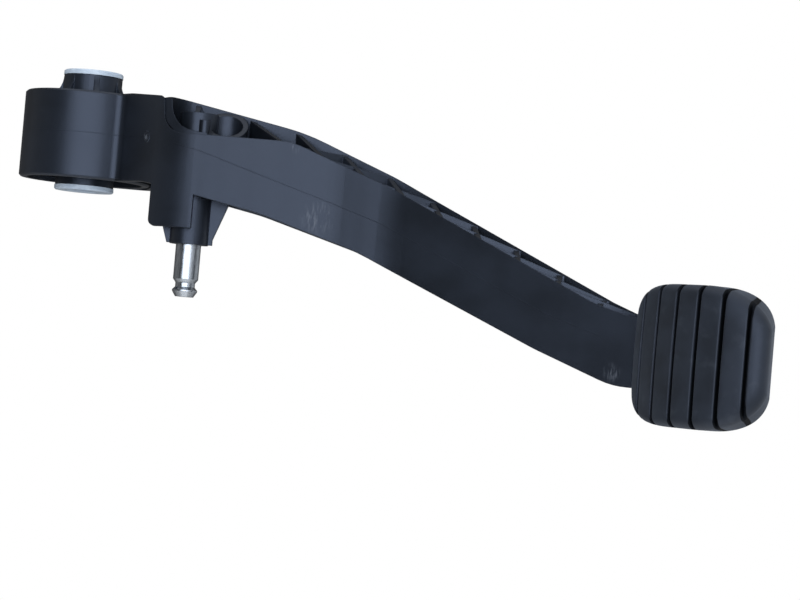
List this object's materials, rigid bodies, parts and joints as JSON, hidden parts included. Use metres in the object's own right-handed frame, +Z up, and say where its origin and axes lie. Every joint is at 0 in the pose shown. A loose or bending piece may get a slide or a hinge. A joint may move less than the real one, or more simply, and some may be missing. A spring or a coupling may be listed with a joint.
{
  "type": "clutch pedal",
  "caption": "Hanging moulded pedal arm with a round pivot hub, a ribbed cranked arm, a sideways pushrod pin and a grooved, curved rubber pad.",
  "frame": {"origin": "centre of the pivot bore, midway between the outer faces of the bushes", "axes": "+Z up in the fitted position, +Y along the pivot axis, +X back to the driver's foot"},
  "size_m": [0.2106, 0.1355, 0.3223],
  "materials": {
    "arm": "fine moulded grain, satin",
    "bush": "smooth, satin",
    "pin": "bright zinc plating",
    "pad": "matte"
  },
  "bodies": {
    "root": {"pedal_arm": "arm", "pivot_bush_right": "bush", "pivot_bush_left": "bush", "pushrod_pin": "pin", "pad_rubber": "pad"}
  },
  "joints": []
}
